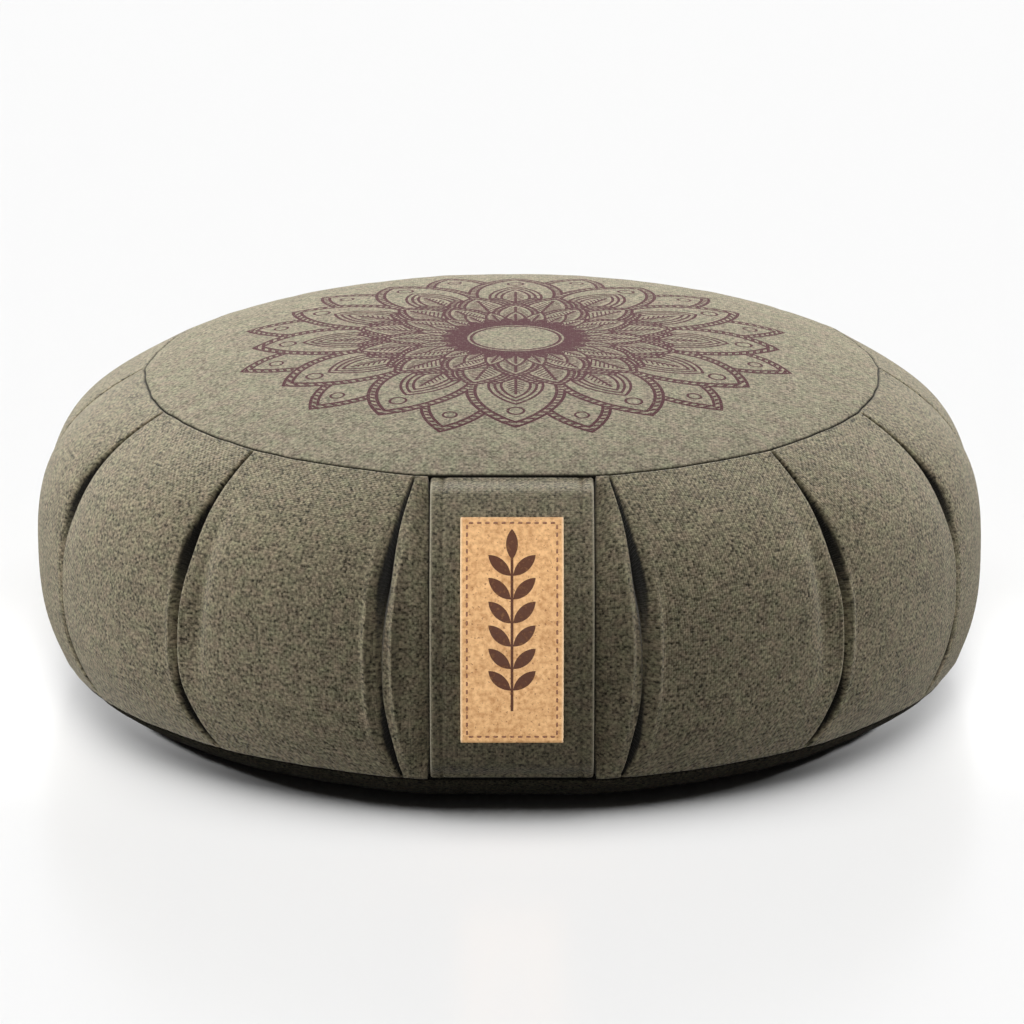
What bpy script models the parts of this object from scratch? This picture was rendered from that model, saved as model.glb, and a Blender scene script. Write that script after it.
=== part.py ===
"""Round meditation cushion at life size: a filled side band gathered into fourteen pleats, with a
round cloth panel sewn to its top and one to its underside, a flat carrying strap down the front
and a cork label on the strap.

Metres, +Z up. The origin is the centre of the flat face that the cushion rests on. The strap is
on the -Y side. Azimuths are counted from -Y towards +X, and stations are distances along the side
from the top seam down to the bottom seam.
"""
import math

import bmesh
import bpy
import numpy as np

# The filled cushion's section.
HEIGHT = 0.132
WIDEST_RADIUS = 0.180
WIDEST_HEIGHT = 0.054
TOP_SEAM_RADIUS = 0.1395
TOP_SEAM_HEIGHT = 0.117
BOTTOM_SEAM_RADIUS = 0.1725
BOTTOM_SEAM_HEIGHT = 0.0137
REST_RADIUS = 0.144
CROWN_POWER = 3.8
UPPER_SIDE_POWER = 2.5
LOWER_SIDE_POWER = 2.6

# The pleats of one side, from the strap round to the back: the azimuth of each at the top seam, half
# way down and at the bottom seam, in degrees. The other side mirrors them.
PLEAT_LINES = np.radians((
    (14.4, 15.3, 13.1),
    (42.0, 42.6, 37.6),
    (67.2, 69.4, 61.5),
    (92.0, 93.2, 86.5),
    (117.0, 117.8, 112.5),
    (142.0, 142.4, 139.0),
    (167.0, 167.1, 166.0),
))
SWING_START = 0.65
PLEAT_REACH = math.radians(12.6)
PLEAT_LINE_SINK = 0.0015
MIDDLE_GROOVE_DEPTH = 0.0016
SLIT_HALF_WIDTH = 0.0006
SLIT_SHOULDER = 2.2
SLIT_CLOSING = 0.05
SEAM_DRAW_IN = 0.0006
SEAM_DRAW_IN_REACH = 0.012

# Relief that comes and goes down the side: its size in metres, and the place of its middle and its
# spread as parts of the way from the top seam to the bottom seam.
SHOULDER_SWELL = (0.0018, 0.30, 0.17)
UPPER_SLIT_DEPTH = (0.0078, 0.28, 0.20)
LOWER_SLIT_DEPTH = (0.0058, 0.89, 0.11)
GROOVE_WIDENING = (0.0010, 0.42, 0.18)
ROLLED_EDGE_HEIGHT = (0.0016, 0.58, 0.24)
VALLEY_DEPTH = (0.0016, 0.60, 0.22)

# Where the rolled edges and the valley run, as a distance from the pleat line, and their spread.
ROLLED_EDGE_LINE = (0.0044, 0.0019)
VALLEY_LINE = (0.0112, 0.0042)

# How the loose filling settles: a lean to the left, waves round the side and a sag at the front left.
SIDE_LEAN = 0.0009
WAVES = (
    # size, waves round the side, phase
    (0.0004, 3, 0.6),
    (0.0004, 5, -1.1),
)
SAG = 0.0016
SAG_AZIMUTH = (math.radians(-48), math.radians(22))
SAG_STATION = (0.100, 0.020)

# The cloths, and the gap between two pieces that touch.
PANEL_THICKNESS = 0.0025
GAP = 0.0003
SEAM_GAP = 0.0004

# The strap and its label.
STRAP_WIDTH = 0.058
STRAP_THICKNESS = 0.0024
STRAP_END_THICKNESS = 0.0014
STRAP_SINK_LENGTH = 0.012
SEAM_BED_DEPTH = 0.0024
FLAT_FRONT_HALF_WIDTH = 0.0315
BED_RIM_HALF_WIDTH = 0.0310
BED_FLOOR_HALF_WIDTH = 0.0295
BESIDE_STRAP_DEPTH = 0.0030
BESIDE_STRAP_LINE = (0.0302, 0.0034)
LABEL_WIDTH = 0.0364
LABEL_THICKNESS = 0.0013
LABEL_STATIONS = (0.0222, 0.1018)
LABEL_SHORTEST_ROW = 0.002

# Finishes.
SIDE_CLOTH_COLOUR = (0.19, 0.17, 0.12)
TOP_CLOTH_COLOUR = (0.30, 0.27, 0.21)
UNDERSIDE_CLOTH_COLOUR = (0.12, 0.10, 0.07)
STRAP_CLOTH_COLOUR = (0.14, 0.12, 0.08)
CORK_COLOUR = (0.68, 0.42, 0.20)
CLOTH_ROUGHNESS = 0.9
CORK_ROUGHNESS = 0.7

# How finely the surfaces are divided.
SECTION_SAMPLES = 400
SHARP_RIM_ANGLE = math.radians(40)
SIDE_ROWS = 18
ROW_EASING = 0.35
PLEAT_COLUMNS = (0.0044, 0.0075, 0.0115)
MIDDLE_COLUMNS = 3
BACK_COLUMNS = 2
STRAP_ZONE_COLUMNS = (0.0, 0.012, 0.021, 0.026)
STRAP_TO_PLEAT_PARTS = np.array((0.33, 0.66))
PANEL_COLUMNS_PER_GORE = 6
TOP_PANEL_RINGS = (0.35, 0.60, 0.75, 0.86, 0.94, 1.0)
BOTTOM_PANEL_RINGS = (0.83, 0.87, 0.91, 0.955, 1.0)
SEAT_RINGS = (0.60, 0.85, 1.0)


def side_section():
    """Stations, radii and heights along the side: a superellipse quarter above the widest ring and
    another below it, each cut off at its seam."""

    def superellipse(heights, power, seam_radius, seam_height):
        cut = (1 - (seam_radius / WIDEST_RADIUS) ** power) ** (1 / power)
        reach = (seam_height - WIDEST_HEIGHT) / cut
        return WIDEST_RADIUS * (1 - ((heights - WIDEST_HEIGHT) / reach) ** power) ** (1 / power)

    upper = np.linspace(TOP_SEAM_HEIGHT, WIDEST_HEIGHT, SECTION_SAMPLES)
    lower = np.linspace(WIDEST_HEIGHT, BOTTOM_SEAM_HEIGHT, SECTION_SAMPLES)[1:]
    radii = np.concatenate((
        superellipse(upper, UPPER_SIDE_POWER, TOP_SEAM_RADIUS, TOP_SEAM_HEIGHT),
        superellipse(lower, LOWER_SIDE_POWER, BOTTOM_SEAM_RADIUS, BOTTOM_SEAM_HEIGHT),
    ))
    heights = np.concatenate((upper, lower))
    steps = np.hypot(np.diff(radii), np.diff(heights))
    return np.concatenate(([0.0], np.cumsum(steps))), radii, heights


SECTION_STATIONS, SECTION_RADII, SECTION_HEIGHTS = side_section()
SIDE_LENGTH = float(SECTION_STATIONS[-1])


def section_at(station):
    """Radius, height and the outward normal's radial and vertical parts at a station."""
    radius = np.interp(station, SECTION_STATIONS, SECTION_RADII)
    height = np.interp(station, SECTION_STATIONS, SECTION_HEIGHTS)
    slope_radius = np.interp(station, SECTION_STATIONS, np.gradient(SECTION_RADII, SECTION_STATIONS))
    slope_height = np.interp(station, SECTION_STATIONS, np.gradient(SECTION_HEIGHTS, SECTION_STATIONS))
    length = np.hypot(slope_radius, slope_height)
    return radius, height, -slope_height / length, slope_radius / length


def side_pleats(station):
    """Azimuths of one side's pleats at a station. Their lines bow to the back half way down, along
    half a sine, and swing to the front above the bottom seam, along a cube."""
    part = station / SIDE_LENGTH
    top, middle, bottom = PLEAT_LINES.T
    swing = max((part - SWING_START) / (1 - SWING_START), 0.0) ** 3
    return top + (middle - top) * math.sin(math.pi * part) + (bottom - top) * swing


def pleat_distance(azimuth, station):
    """Angle from the nearest pleat, positive away from the front, and the part of the way from that
    pleat to where the gore swells fully, from 0 to 1."""
    pleats = np.concatenate((-side_pleats(station), side_pleats(station)))
    gaps = (azimuth[:, None] - pleats + math.pi) % (2 * math.pi) - math.pi
    nearest = np.abs(gaps).argmin(axis=1)
    angle = gaps[np.arange(len(azimuth)), nearest]
    part = np.minimum(np.abs(angle) / PLEAT_REACH, 1.0)
    return angle * np.sign(azimuth), part


def hill(value, centre, spread):
    """A smooth hill of height 1."""
    return np.exp(-(((value - centre) / spread) ** 2))


def down_the_side(relief, station):
    """One of the reliefs that come and go down the side, at a station."""
    size, centre, spread = relief
    return size * hill(station / SIDE_LENGTH, centre, spread)


def slit_half_width(station):
    """A pleat is a thin slit at both seams and opens to a soft groove below the middle."""
    return SLIT_HALF_WIDTH + down_the_side(GROOVE_WIDENING, station)


def off_seams(station):
    """0 at both seams, where the cloth is held, and 1 half way between them."""
    return math.sin(math.pi * station / SIDE_LENGTH)


def pleat_relief(azimuth, station):
    """How far the cloth stands out from the plain section: gores swell between the pleats, each
    pleat is a slit, and it has a rolled edge on both sides and a soft valley towards the front."""
    free = off_seams(station)
    angle, part = pleat_distance(azimuth, station)
    distance = angle * section_at(station)[0]
    dip = (1 - part) ** 2
    swell = free * (down_the_side(SHOULDER_SWELL, station) * (1 - dip) - PLEAT_LINE_SINK * dip)
    depth = MIDDLE_GROOVE_DEPTH * free
    depth += down_the_side(UPPER_SLIT_DEPTH, station) + down_the_side(LOWER_SLIT_DEPTH, station)
    open_part = 1 - hill(free, 0.0, SLIT_CLOSING)
    slit = depth * open_part * hill(distance, 0.0, slit_half_width(station))
    rolls = down_the_side(ROLLED_EDGE_HEIGHT, station) * hill(np.abs(distance), *ROLLED_EDGE_LINE)
    valley = down_the_side(VALLEY_DEPTH, station) * hill(-distance, *VALLEY_LINE)
    return swell - slit + rolls - valley


def filling_unevenness(azimuth, station):
    """The loose filling settles unevenly: it fills the left side more than the right, and hangs
    lowest at the front left."""
    uneven = -SIDE_LEAN * np.sin(azimuth)
    for size, count, phase in WAVES:
        uneven = uneven + size * np.sin(count * azimuth + phase)
    uneven += SAG * hill(azimuth, *SAG_AZIMUTH) * hill(station, *SAG_STATION)
    return off_seams(station) * uneven


def seam_draw_in(azimuth, station):
    """The gathered seams are drawn in a little between the pleats, which makes them many-sided."""
    part = pleat_distance(azimuth, station)[1]
    from_seam = min(station, SIDE_LENGTH - station)
    return SEAM_DRAW_IN * (1 - (1 - part) ** 2) * hill(from_seam, 0.0, SEAM_DRAW_IN_REACH)


def beside_strap(x, station):
    """How deep the cloth at the front is pressed in along both edges of the strap."""
    return strap_lift(station, 0.0, BESIDE_STRAP_DEPTH) * hill(np.abs(x), *BESIDE_STRAP_LINE)


def side_points(azimuth, station):
    """The side band's outer face at one station, for an array of azimuths. Under the strap the
    front is pulled flat, and it is pressed in along the strap's edges."""
    radius, height, out, up = section_at(station)
    at_front = np.cos(azimuth) > 0
    x = radius * np.sin(azimuth)
    relief = pleat_relief(azimuth, station) + filling_unevenness(azimuth, station)
    relief -= beside_strap(x, station) * at_front
    reach = radius + relief * out - seam_draw_in(azimuth, station)
    points = np.column_stack(
        (reach * np.sin(azimuth), -reach * np.cos(azimuth), height + relief * up)
    )
    flat = (np.abs(x) < FLAT_FRONT_HALF_WIDTH) & at_front
    points[flat] = strap_zone_points(x[flat], station, -beside_strap(x[flat], station))
    return points


def flat_front(station):
    """Depth and height of the flat front at a station: the chord between two points of the side."""
    radius, height, out, up = section_at(station)
    corner = np.array([math.asin(FLAT_FRONT_HALF_WIDTH / radius)])
    relief = pleat_relief(corner, station)[0]
    reach = radius + relief * out - seam_draw_in(corner, station)[0]
    return -math.sqrt(reach**2 - FLAT_FRONT_HALF_WIDTH**2), height + relief * up


def strap_direction(station):
    """Which way the strap's thickness goes, as depth and height: square to the side, but upright
    at the seams, where its ends stand against the edges of the round panels."""
    out, up = section_at(station)[2:]
    free = min(min(station, SIDE_LENGTH - station) / STRAP_SINK_LENGTH, 1.0)
    upright = math.copysign(1.0, up)
    depth, height = -out * free, up * free + upright * (1 - free)
    length = math.hypot(depth, height)
    return depth / length, height / length


def strap_lift(station, end_value, middle_value):
    """A value that eases from the seams to the strap's free stretch."""
    free = min(min(station, SIDE_LENGTH - station) / STRAP_SINK_LENGTH, 1.0)
    ease = free * free * (3 - 2 * free)
    return end_value + (middle_value - end_value) * ease


def strap_zone_points(x, station, lift):
    """Points of the flat front at the given x, lifted off it by a distance or by one for each."""
    y, z = flat_front(station)
    depth, height = strap_direction(station)
    lifts = np.broadcast_to(lift, x.shape)
    return np.column_stack((x, y + lifts * depth, z + lifts * height))


def row_stations():
    """The stations of the filled body's rows, closer together towards the seams. The strap and the
    label share them, so that they bend where the body does."""
    parts = np.linspace(0.0, 1.0, SIDE_ROWS + 1)
    return SIDE_LENGTH * (parts - ROW_EASING * np.sin(2 * math.pi * parts) / (2 * math.pi))


def mirrored(values):
    """A run of values from 0 up, preceded by its mirror image without the shared 0."""
    return np.concatenate((-values[:0:-1], values))


def column_azimuths(station):
    """Azimuths of the side's columns at a station. They follow the strap's bed at the front and the
    slit, rolled edge and valley of each pleat, and spread evenly over the rest of each gore."""
    radius = section_at(station)[0]
    slit = slit_half_width(station)
    beside_pleat = np.array((slit, SLIT_SHOULDER * slit, *PLEAT_COLUMNS)) / radius
    strap_zone = (*STRAP_ZONE_COLUMNS, BED_FLOOR_HALF_WIDTH, BED_RIM_HALF_WIDTH)
    half = [np.arcsin(np.array(strap_zone) / radius)]
    pleats = side_pleats(station)
    strap_edge = half[0][-1]
    first_slit = pleats[0] - beside_pleat[1::-1]
    half += [strap_edge + (first_slit[0] - strap_edge) * STRAP_TO_PLEAT_PARTS, first_slit]
    for pleat, following in zip(pleats, pleats[1:]):
        gore = (pleat + beside_pleat[-1], following - beside_pleat[-1])
        between = np.linspace(*gore, MIDDLE_COLUMNS + 2)[1:-1]
        half += [[pleat], pleat + beside_pleat, between, following - beside_pleat[::-1]]
    back = np.linspace(pleats[-1] + beside_pleat[-1], math.pi, BACK_COLUMNS + 1)[1:]
    half += [[pleats[-1]], pleats[-1] + beside_pleat, back]
    return mirrored(np.concatenate(half))[1:]


def body_row(station):
    """One row of the filled body's side, with the strap's bed pressed into it near both seams."""
    points = side_points(column_azimuths(station), station)
    halfway_up_rim = (BED_FLOOR_HALF_WIDTH + BED_RIM_HALF_WIDTH) / 2
    bed = (np.abs(points[:, 0]) < halfway_up_rim) & (points[:, 1] < 0)
    x = points[bed, 0]
    sink = strap_lift(station, SEAM_BED_DEPTH, 0.0) + beside_strap(x, station)
    points[bed] = strap_zone_points(x, station, -sink)
    return points


def crown_height(part):
    """Height of the top cloth where part is 0 at the middle and 1 at the seam."""
    return TOP_SEAM_HEIGHT + (HEIGHT - TOP_SEAM_HEIGHT) * (1 - part**CROWN_POWER)


def underside_height(part):
    """Height of the underside cloth: flat where it rests, then curving up to the seam."""
    rest_part = REST_RADIUS / BOTTOM_SEAM_RADIUS
    rise = max(part - rest_part, 0.0) / (1 - rest_part)
    return BOTTOM_SEAM_HEIGHT * rise**2


def ring(outline, part, height):
    """The seam's outline shrunk towards the middle, at one height."""
    return np.column_stack((outline[:, :2] * part, np.full(len(outline), height)))


def finished_mesh(name, mesh):
    """Turns a bmesh's faces outwards and makes it a smooth-shaded mesh with sharp rims."""
    bmesh.ops.recalc_face_normals(mesh, faces=mesh.faces[:])
    data = bpy.data.meshes.new(name)
    mesh.to_mesh(data)
    mesh.free()
    data.shade_smooth()
    data.set_sharp_from_angle(angle=SHARP_RIM_ANGLE)
    return data


def closed_mesh(name, rows, bottom_pole, top_pole):
    """A closed mesh from rings of points in order, with a point in the middle at each end."""
    mesh = bmesh.new()
    rings = [[mesh.verts.new(point) for point in row] for row in rows]
    count = len(rings[0])
    for lower, upper in zip(rings, rings[1:]):
        for index in range(count):
            after = (index + 1) % count
            mesh.faces.new((lower[index], lower[after], upper[after], upper[index]))
    for pole, end, turned in ((bottom_pole, rings[0], True), (top_pole, rings[-1], False)):
        middle = mesh.verts.new(pole)
        for index in range(count):
            fan = (end[index], end[(index + 1) % count], middle)
            mesh.faces.new(fan[::-1] if turned else fan)
    return finished_mesh(name, mesh)


def add_piece(name, data, colour, roughness):
    """Puts a mesh in the scene as an object with a cloth or cork finish of its own."""
    material = bpy.data.materials.new(name + "_finish")
    material.use_nodes = True
    shader = material.node_tree.nodes["Principled BSDF"]
    shader.inputs["Base Color"].default_value = (*colour, 1.0)
    shader.inputs["Roughness"].default_value = roughness
    shader.inputs["Metallic"].default_value = 0.0
    data.materials.append(material)
    piece = bpy.data.objects.new(name, data)
    bpy.context.collection.objects.link(piece)
    return piece


def make_pleated_body():
    """The filled body: the pleated side band, with a shallow seat above and below it in which the
    round panels lie."""
    side = [body_row(station) for station in row_stations()[::-1]]
    lower_rim = side_points(column_azimuths(SIDE_LENGTH), SIDE_LENGTH)
    upper_rim = side_points(column_azimuths(0.0), 0.0)
    seat = PANEL_THICKNESS + GAP
    below = [ring(lower_rim, part, underside_height(part) + seat) for part in SEAT_RINGS]
    above = [ring(upper_rim, part, crown_height(part) - seat) for part in reversed(SEAT_RINGS)]
    middle_below = (0.0, 0.0, seat)
    middle_above = (0.0, 0.0, HEIGHT - seat)
    data = closed_mesh("pleated_body", below + side + above, middle_below, middle_above)
    return add_piece("pleated_body", data, SIDE_CLOTH_COLOUR, CLOTH_ROUGHNESS)


def panel_outline(station):
    """The edge of a round panel: the seam's line, just inside the side band."""
    pleats = side_pleats(station)
    starts = np.concatenate((-pleats[::-1], pleats))
    ends = np.append(starts[1:], starts[0] + 2 * math.pi)
    steps = np.arange(PANEL_COLUMNS_PER_GORE) / PANEL_COLUMNS_PER_GORE
    azimuth = (starts[:, None] + (ends - starts)[:, None] * steps).ravel()
    points = side_points(azimuth, station)
    reach = np.hypot(points[:, 0], points[:, 1])
    points[:, :2] *= ((reach - SEAM_GAP) / reach)[:, None]
    return points


def make_top_panel():
    """The top cloth, domed by the filling."""
    outline = panel_outline(0.0)
    reach = 1 - SEAM_GAP / TOP_SEAM_RADIUS
    outer = [ring(outline, part, crown_height(part * reach)) for part in reversed(TOP_PANEL_RINGS)]
    inner = [
        ring(outline, part, crown_height(part * reach) - PANEL_THICKNESS) for part in TOP_PANEL_RINGS
    ]
    middle_inner = (0.0, 0.0, HEIGHT - PANEL_THICKNESS)
    data = closed_mesh("top_panel", inner + outer, middle_inner, (0.0, 0.0, HEIGHT))
    return add_piece("top_panel", data, TOP_CLOTH_COLOUR, CLOTH_ROUGHNESS)


def make_bottom_panel():
    """The underside cloth, flat where the cushion rests."""
    outline = panel_outline(SIDE_LENGTH)
    reach = 1 - SEAM_GAP / BOTTOM_SEAM_RADIUS
    outer = [ring(outline, part, underside_height(part * reach)) for part in BOTTOM_PANEL_RINGS]
    inner = [
        ring(outline, part, underside_height(part * reach) + PANEL_THICKNESS)
        for part in reversed(BOTTOM_PANEL_RINGS)
    ]
    data = closed_mesh("bottom_panel", outer + inner, (0.0, 0.0, 0.0), (0.0, 0.0, PANEL_THICKNESS))
    return add_piece("bottom_panel", data, UNDERSIDE_CLOTH_COLOUR, CLOTH_ROUGHNESS)


def strip_between(name, columns, stations, floor, thickness):
    """A strip on the flat front: rows of a closed loop each, front face and back face together.
    floor and thickness give the lift of the back face and the strip's thickness at a station."""
    rows = []
    for station in stations:
        back = strap_zone_points(columns, station, floor(station))
        front = strap_zone_points(columns[::-1], station, floor(station) + thickness(station))
        rows.append(np.concatenate((back, front)))
    mesh = bmesh.new()
    loops = [[mesh.verts.new(point) for point in row] for row in rows]
    count = len(loops[0])
    for above, under in zip(loops, loops[1:]):
        for index in range(count):
            after = (index + 1) % count
            mesh.faces.new((above[index], above[after], under[after], under[index]))
    half = len(columns)
    for loop in (loops[0], loops[-1]):
        for index in range(half - 1):
            partner = count - 1 - index
            mesh.faces.new((loop[index], loop[index + 1], loop[partner - 1], loop[partner]))
    return finished_mesh(name, mesh)


def make_handle_strap():
    """The carrying strap: a flat hemmed strip sewn into the top seam and the bottom seam."""
    stations = row_stations()
    stations[0] += SEAM_GAP
    stations[-1] -= SEAM_GAP
    columns = np.linspace(-STRAP_WIDTH / 2, STRAP_WIDTH / 2, 5)
    data = strip_between(
        "handle_strap",
        columns,
        stations,
        lambda station: GAP - strap_lift(station, SEAM_BED_DEPTH, 0.0),
        lambda station: strap_lift(station, STRAP_END_THICKNESS, STRAP_THICKNESS),
    )
    return add_piece("handle_strap", data, STRAP_CLOTH_COLOUR, CLOTH_ROUGHNESS)


def make_cork_label():
    """The cork label, sewn on the free stretch of the strap."""
    first, last = LABEL_STATIONS
    between = [
        station
        for station in row_stations()
        if first + LABEL_SHORTEST_ROW < station < last - LABEL_SHORTEST_ROW
    ]
    columns = np.linspace(-LABEL_WIDTH / 2, LABEL_WIDTH / 2, 3)
    data = strip_between(
        "cork_label",
        columns,
        [first, *between, last],
        lambda station: STRAP_THICKNESS + 2 * GAP,
        lambda station: LABEL_THICKNESS,
    )
    return add_piece("cork_label", data, CORK_COLOUR, CORK_ROUGHNESS)


for leftover in list(bpy.data.objects):
    bpy.data.objects.remove(leftover, do_unlink=True)

make_pleated_body()
make_top_panel()
make_bottom_panel()
make_handle_strap()
make_cork_label()
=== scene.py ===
"""The looks of a round meditation cushion: a filled, pleated side band of heathered linen, a domed
top with a printed rosette, a round underside, a flat carrying strap and a cork label on the strap.

Metres, +Z up. The strap faces -Y. Azimuths are counted from -Y towards +X, and stations are
distances along the side from the top seam down to the bottom seam.
"""
import math

import bpy
import numpy as np
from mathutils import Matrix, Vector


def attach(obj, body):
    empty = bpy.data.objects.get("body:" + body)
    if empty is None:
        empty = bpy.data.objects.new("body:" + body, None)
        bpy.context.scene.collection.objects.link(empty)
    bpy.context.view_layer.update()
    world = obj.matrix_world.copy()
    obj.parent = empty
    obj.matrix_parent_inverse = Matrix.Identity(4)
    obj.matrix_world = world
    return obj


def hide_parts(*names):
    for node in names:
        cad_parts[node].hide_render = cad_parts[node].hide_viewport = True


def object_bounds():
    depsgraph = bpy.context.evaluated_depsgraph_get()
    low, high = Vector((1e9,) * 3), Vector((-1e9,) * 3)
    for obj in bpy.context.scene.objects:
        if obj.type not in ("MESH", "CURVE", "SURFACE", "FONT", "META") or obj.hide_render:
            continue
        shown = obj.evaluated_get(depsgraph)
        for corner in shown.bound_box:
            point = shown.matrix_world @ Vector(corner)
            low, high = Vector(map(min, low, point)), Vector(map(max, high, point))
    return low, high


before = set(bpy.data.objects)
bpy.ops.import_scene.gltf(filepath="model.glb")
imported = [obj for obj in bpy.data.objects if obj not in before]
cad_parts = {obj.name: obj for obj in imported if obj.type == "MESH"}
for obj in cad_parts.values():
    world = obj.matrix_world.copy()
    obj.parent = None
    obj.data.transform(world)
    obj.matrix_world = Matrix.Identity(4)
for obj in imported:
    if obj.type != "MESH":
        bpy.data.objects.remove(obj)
cad_box = [list(corner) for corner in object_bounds()]

# ---- The camera ----
# A long lens stands low in front of the strap, as for a product picture, and looks a little below
# the cushion's middle, so that the cushion sits above the middle of the square picture.
CAMERA_LENS = 199.5
SENSOR_WIDTH = 36.0
CAMERA_DISTANCE = 2.1618
CAMERA_ELEVATION = math.radians(16.7)
AIM_POINT = (0.0, 0.0, 0.081)
PIXELS_BELOW_AIM = 49.7
FOCAL_PIXELS = 5675.0


def add_object(name, data):
    """A new object of the scene, made of a mesh, a lamp or a camera."""
    made = bpy.data.objects.new(name, data)
    bpy.context.scene.collection.objects.link(made)
    return made


camera = add_object("camera", bpy.data.cameras.new("camera"))
camera.data.lens = CAMERA_LENS
camera.data.sensor_width = SENSOR_WIDTH
to_camera = (0.0, -math.cos(CAMERA_ELEVATION), math.sin(CAMERA_ELEVATION))
camera.location = np.add(AIM_POINT, CAMERA_DISTANCE * np.array(to_camera))
camera_tilt = CAMERA_ELEVATION + math.atan(PIXELS_BELOW_AIM / FOCAL_PIXELS)
camera.rotation_euler = (math.pi / 2 - camera_tilt, 0.0, 0.0)
bpy.context.scene.camera = camera

# ---- The filled body and its side band ----
# A round bag filled with loose hulls. Its side is one band of heathered linen, tucked into fourteen
# pleats that are caught in the seams above and below, where the round panels lie in shallow seats.
HEIGHT = cad_box[1][2]
WIDEST_RADIUS = 0.180
WIDEST_HEIGHT = 0.054
TOP_SEAM_RADIUS = 0.1395
TOP_SEAM_HEIGHT = 0.117
BOTTOM_SEAM_RADIUS = 0.1725
BOTTOM_SEAM_HEIGHT = 0.0137
REST_RADIUS = 0.144
CROWN_POWER = 3.8
UPPER_SIDE_POWER = 2.5
LOWER_SIDE_POWER = 2.6
PANEL_THICKNESS = 0.0025
GAP = 0.0003
SEAM_GAP = 0.0004

# The pleats of one side, from the strap round to the back: the azimuth of each in degrees at the
# top seam, half way down and at the bottom seam. The other side mirrors them.
PLEAT_LINES = np.radians((
    (14.4, 15.3, 13.1),
    (42.0, 42.6, 37.6),
    (67.2, 69.4, 61.5),
    (92.0, 93.2, 86.5),
    (117.0, 117.8, 112.5),
    (142.0, 142.4, 139.0),
    (167.0, 167.1, 166.0),
))
SWING_START = 0.65

# How each of these pleats lies in between: how far from its line the rolled edges run, how strongly
# they show half way down, and so does the valley in front of them, and how wide the pleat gapes
# above the middle and above the bottom seam.
PLEAT_FORMS = np.array((
    (0.0050, 1.3, 1.1, 1.0, 1.0),
    (0.0028, 0.6, 1.9, 1.3, 1.9),
    (0.0034, 0.1, 0.2, 2.0, 2.2),
    (0.0036, 0.3, 0.4, 1.0, 1.2),
    (0.0044, 1.1, 1.0, 0.9, 1.0),
    (0.0030, 0.6, 0.8, 1.3, 1.6),
    (0.0048, 1.0, 1.0, 1.0, 1.2),
))
PLEAT_REACH = math.radians(12.6)
PLEAT_LINE_SINK = 0.0015
MIDDLE_GROOVE_DEPTH = 0.0011
SLIT_HALF_WIDTH = 0.0005
SLIT_CLOSING = 0.03
LIP_DEPTH = 0.0008
LIP_WIDENING = 2.4
SEAM_DRAW_IN = 0.0006
SEAM_DRAW_IN_REACH = 0.012

# Relief that comes and goes down the side: its size in metres, and the place of its middle and its
# spread as parts of the way from the top seam to the bottom seam.
SHOULDER_SWELL = (0.0018, 0.30, 0.17)
UPPER_SLIT_DEPTH = (0.0078, 0.28, 0.20)
LOWER_SLIT_DEPTH = (0.0058, 0.89, 0.11)
UPPER_SLIT_WIDENING = (0.0012, 0.41, 0.16)
LOWER_SLIT_WIDENING = (0.0006, 0.87, 0.10)
ROLLED_EDGE_HEIGHT = (0.0017, 0.58, 0.24)
VALLEY_DEPTH = (0.0016, 0.53, 0.21)

# How wide the rolled edges are, and the valley's distance from the pleat line and its width.
ROLLED_EDGE_SPREAD = 0.0013
VALLEY_LINE = (0.0106, 0.0038)

SIDE_LEAN = 0.0009
WAVES = ((0.0004, 3, 0.6), (0.0004, 5, -1.1))  # size, waves, phase
SAG = 0.0016
SAG_AZIMUTH = (math.radians(-48), math.radians(22))
SAG_STATION = (0.100, 0.020)

SECTION_SAMPLES = 400
SIDE_ROWS = 128
ROW_EASING = 0.6
COLUMNS_PER_HALF_GORE = 26
COLUMN_CROWDING = 3.5
UNDER_STRAP_AZIMUTH = math.radians(9.0)
UNDER_STRAP_COLUMNS = 8
STRAP_EDGE_COLUMNS = 60
GORE_CLOTH_STEP = 0.1
SEAT_RINGS = (0.30, 0.60, 0.85, 1.0)
FLAT_FRONT_HALF_WIDTH = 0.0315
STRAP_SINK_LENGTH = 0.012
SEAM_BED_DEPTH = 0.0024
SEAM_ROLL_RADIUS = 0.0009
# Painted shade: the slit depths at which the painted shade in a slit starts and is full, how much
# of it fades a little below half way down, and how far it reaches from the seams and from the
# strap's edges.
PAINTED_SHADE_DEPTHS = (0.0003, 0.0013)
MIDDLE_PAINTED_SHADE_LOSS = (0.90, 0.60, 0.12)
SEAM_PAINTED_SHADE_REACH = 0.0005
STRAP_PAINTED_SHADE_REACH = 0.0011
STRAP_BED_HALF_WIDTH = 0.0296
STRAP_BED_RIM = 0.0005
BESIDE_STRAP_DEPTH = 0.0030
BESIDE_STRAP_LINE = (0.0302, 0.0034)
SEAM_WAVER = ((0.00018, 19, 0.4), (0.00013, 43, 2.0), (0.00010, 71, 1.1))  # size, waves, phase
SEAM_WAVER_REACH = 0.005


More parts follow.
